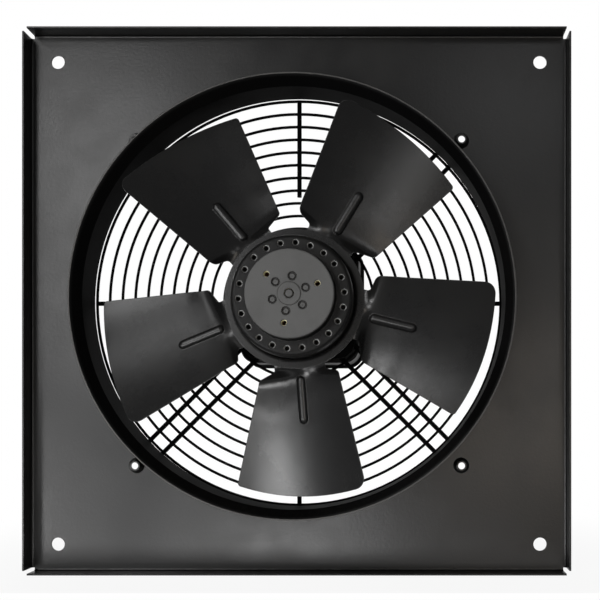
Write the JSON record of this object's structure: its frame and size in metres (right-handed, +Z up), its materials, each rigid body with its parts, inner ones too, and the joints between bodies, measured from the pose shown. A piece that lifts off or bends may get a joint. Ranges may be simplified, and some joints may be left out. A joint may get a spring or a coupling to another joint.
{
  "type": "square frame axial fan",
  "caption": "Wall fan with a square pressed plate, flared round nozzle, flat wire guard and twisted sheet blades on an external rotor motor.",
  "frame": {"origin": "centre of the wall bolt pattern, on the front face of the wall plate", "axes": "+Z up, +X to the right seen from the nozzle side, -Y along the fan axis out of the nozzle"},
  "size_m": [0.485, 0.1174, 0.485],
  "materials": {
    "black_coat": "semi-gloss powder coat",
    "rotor_paint": "satin grey paint",
    "bright_steel": "plain ground steel",
    "yellow_zinc": "yellow passivated zinc",
    "cast_aluminium": "die cast",
    "lamination": "stacked sheet steel",
    "copper_wire": "varnished copper wire",
    "insulation": "moulded",
    "black_plastic": "moulded, fine grain",
    "grommet_rubber": "matt"
  },
  "bodies": {
    "frame": {"wall_plate": "black_coat", "guard_ring_01": "black_coat", "guard_ring_02": "black_coat", "guard_ring_03": "black_coat", "guard_ring_04": "black_coat", "guard_ring_05": "black_coat", "guard_ring_06": "black_coat", "guard_ring_07": "black_coat", "guard_ring_08": "black_coat", "guard_ring_09": "black_coat", "guard_ring_10": "black_coat", "guard_ring_11": "black_coat", "guard_spoke_1": "black_coat", "guard_spoke_2": "black_coat", "guard_spoke_3": "black_coat", "guard_spoke_4": "black_coat", "guard_leg_1": "black_coat", "guard_leg_2": "black_coat", "guard_leg_3": "black_coat", "guard_leg_4": "black_coat", "motor_carrier": "black_coat", "motor_screws": "bright_steel", "motor_washers": "bright_steel", "lid_screws": "bright_steel", "bearing_rear_outer": "bright_steel", "bearing_front_outer": "bright_steel", "motor_flange": "cast_aluminium", "bearing_tube": "cast_aluminium", "stator_core": "lamination", "winding_rear": "copper_wire", "winding_front": "copper_wire", "insulator_rear": "insulation", "insulator_front": "insulation", "terminal_box": "black_plastic", "terminal_lid": "black_plastic", "cable_grommet": "grommet_rubber"},
    "rotor": {"rotor_cup": "rotor_paint", "rotor_rivets": "rotor_paint", "rotor_core": "lamination", "cage_ring_rear": "cast_aluminium", "cage_ring_front": "cast_aluminium", "shaft": "bright_steel", "shaft_hub": "yellow_zinc", "retaining_ring": "bright_steel", "preload_spring": "bright_steel", "bearing_rear_inner": "bright_steel", "bearing_rear_balls": "bright_steel", "bearing_front_inner": "bright_steel", "bearing_front_balls": "bright_steel", "impeller": "black_coat"}
  },
  "joints": [
    {"name": "rotor_spin", "type": "hinge", "parent": "frame", "child": "rotor", "pos_m": [0, 0, 0], "axis": [0, -1, 0], "continuous": true}
  ]
}
